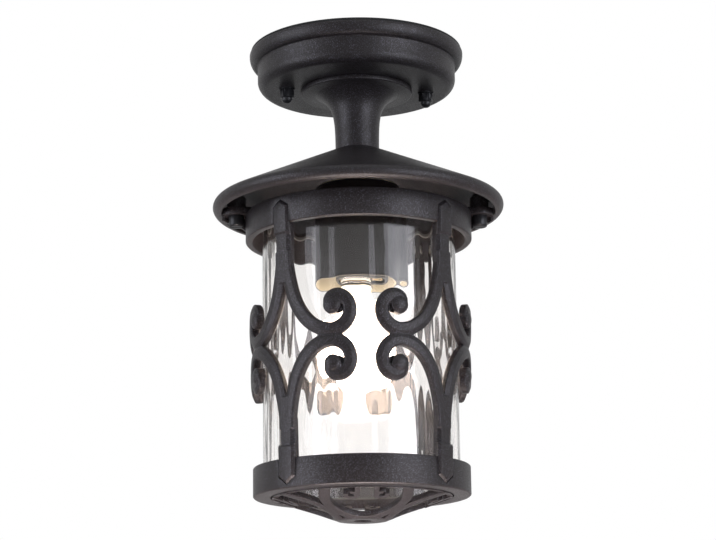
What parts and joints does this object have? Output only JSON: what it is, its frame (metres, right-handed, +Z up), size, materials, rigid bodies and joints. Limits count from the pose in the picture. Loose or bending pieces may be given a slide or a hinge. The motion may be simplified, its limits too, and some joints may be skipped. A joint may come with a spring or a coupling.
{
  "type": "ceiling lantern",
  "caption": "Porch lantern on a round ceiling pan and trumpet stem, with a conical hood, a fluted glass cylinder in a cage of scrolled arms, and a pierced base grille.",
  "frame": {"origin": "centre of the ceiling fixing, on the ceiling's plane", "axes": "+Z up along the lantern's axis, X through the two cage screws, -Y towards the viewer"},
  "size_m": [0.215, 0.215, 0.3525],
  "materials": {
    "casting": "cast aluminium under a fine textured near-black powder coat",
    "black_steel": "pressed steel, matt black paint",
    "zinc_steel": "zinc-plated steel",
    "black_fastener": "blackened steel fastener",
    "brass": "plain brass",
    "white_plastic": "white insulating plastic",
    "black_plastic": "black moulded phenolic plastic",
    "brown_wire": "brown wire insulation",
    "blue_wire": "blue wire insulation",
    "green_wire": "green and yellow wire insulation",
    "foam": "closed-cell foam gasket",
    "clear_gasket": "grey silicone gasket",
    "clear_glass": "clear fluted soda glass",
    "lamp_glass": "white lamp envelope, lit",
    "cap_metal": "bright aluminium lamp cap",
    "black_vitrite": "black glass insulator of the lamp cap"
  },
  "bodies": {
    "fixture": {"ceiling_gasket": "foam", "ceiling_pan": "casting", "mounting_strap": "zinc_steel", "strap_studs": "zinc_steel", "lock_nuts": "zinc_steel", "nut_washers": "black_fastener", "dome_nuts": "black_fastener", "terminal_block": "white_plastic", "terminal_screws": "zinc_steel", "earth_screw": "brass", "live_lead": "brown_wire", "neutral_lead": "blue_wire", "earth_lead": "green_wire", "stem": "casting", "nipple_tube": "zinc_steel", "nipple_nuts": "zinc_steel", "hood": "casting", "holder_can": "black_steel", "lampholder_body": "black_plastic", "lampholder_insulator": "white_plastic", "screw_shell": "brass", "centre_contact": "brass"},
    "cage": {"upper_ring": "casting", "arm_front_left": "casting", "arm_front_right": "casting", "arm_back_right": "casting", "arm_back_left": "casting", "upper_arm_screws": "zinc_steel", "lower_arm_screws": "zinc_steel", "lower_ring": "casting", "base_grille": "casting", "glass_cylinder": "clear_glass", "glass_gasket_top": "clear_gasket", "glass_gasket_bottom": "clear_gasket"},
    "cage_screw_left": {"cage_screw_left": "black_fastener"},
    "cage_screw_right": {"cage_screw_right": "black_fastener"},
    "bulb": {"bulb_glass": "lamp_glass", "bulb_cap": "cap_metal", "bulb_insulator": "black_vitrite", "bulb_contact": "zinc_steel"}
  },
  "joints": [
    {"name": "cage_lower", "type": "slide", "parent": "fixture", "child": "cage", "axis": [0, 0, -1], "range_m": [0, 0.16]},
    {"name": "screw_left_turn", "type": "hinge", "parent": "cage", "child": "cage_screw_left", "pos_m": [-0.09, 0, -0.125], "axis": [0, 0, 1], "continuous": true},
    {"name": "screw_right_turn", "type": "hinge", "parent": "cage", "child": "cage_screw_right", "pos_m": [0.09, 0, -0.125], "axis": [0, 0, 1], "continuous": true},
    {"name": "bulb_draw", "type": "slide", "parent": "fixture", "child": "bulb", "axis": [0, 0, -1], "range_m": [0, 0.026]}
  ]
}
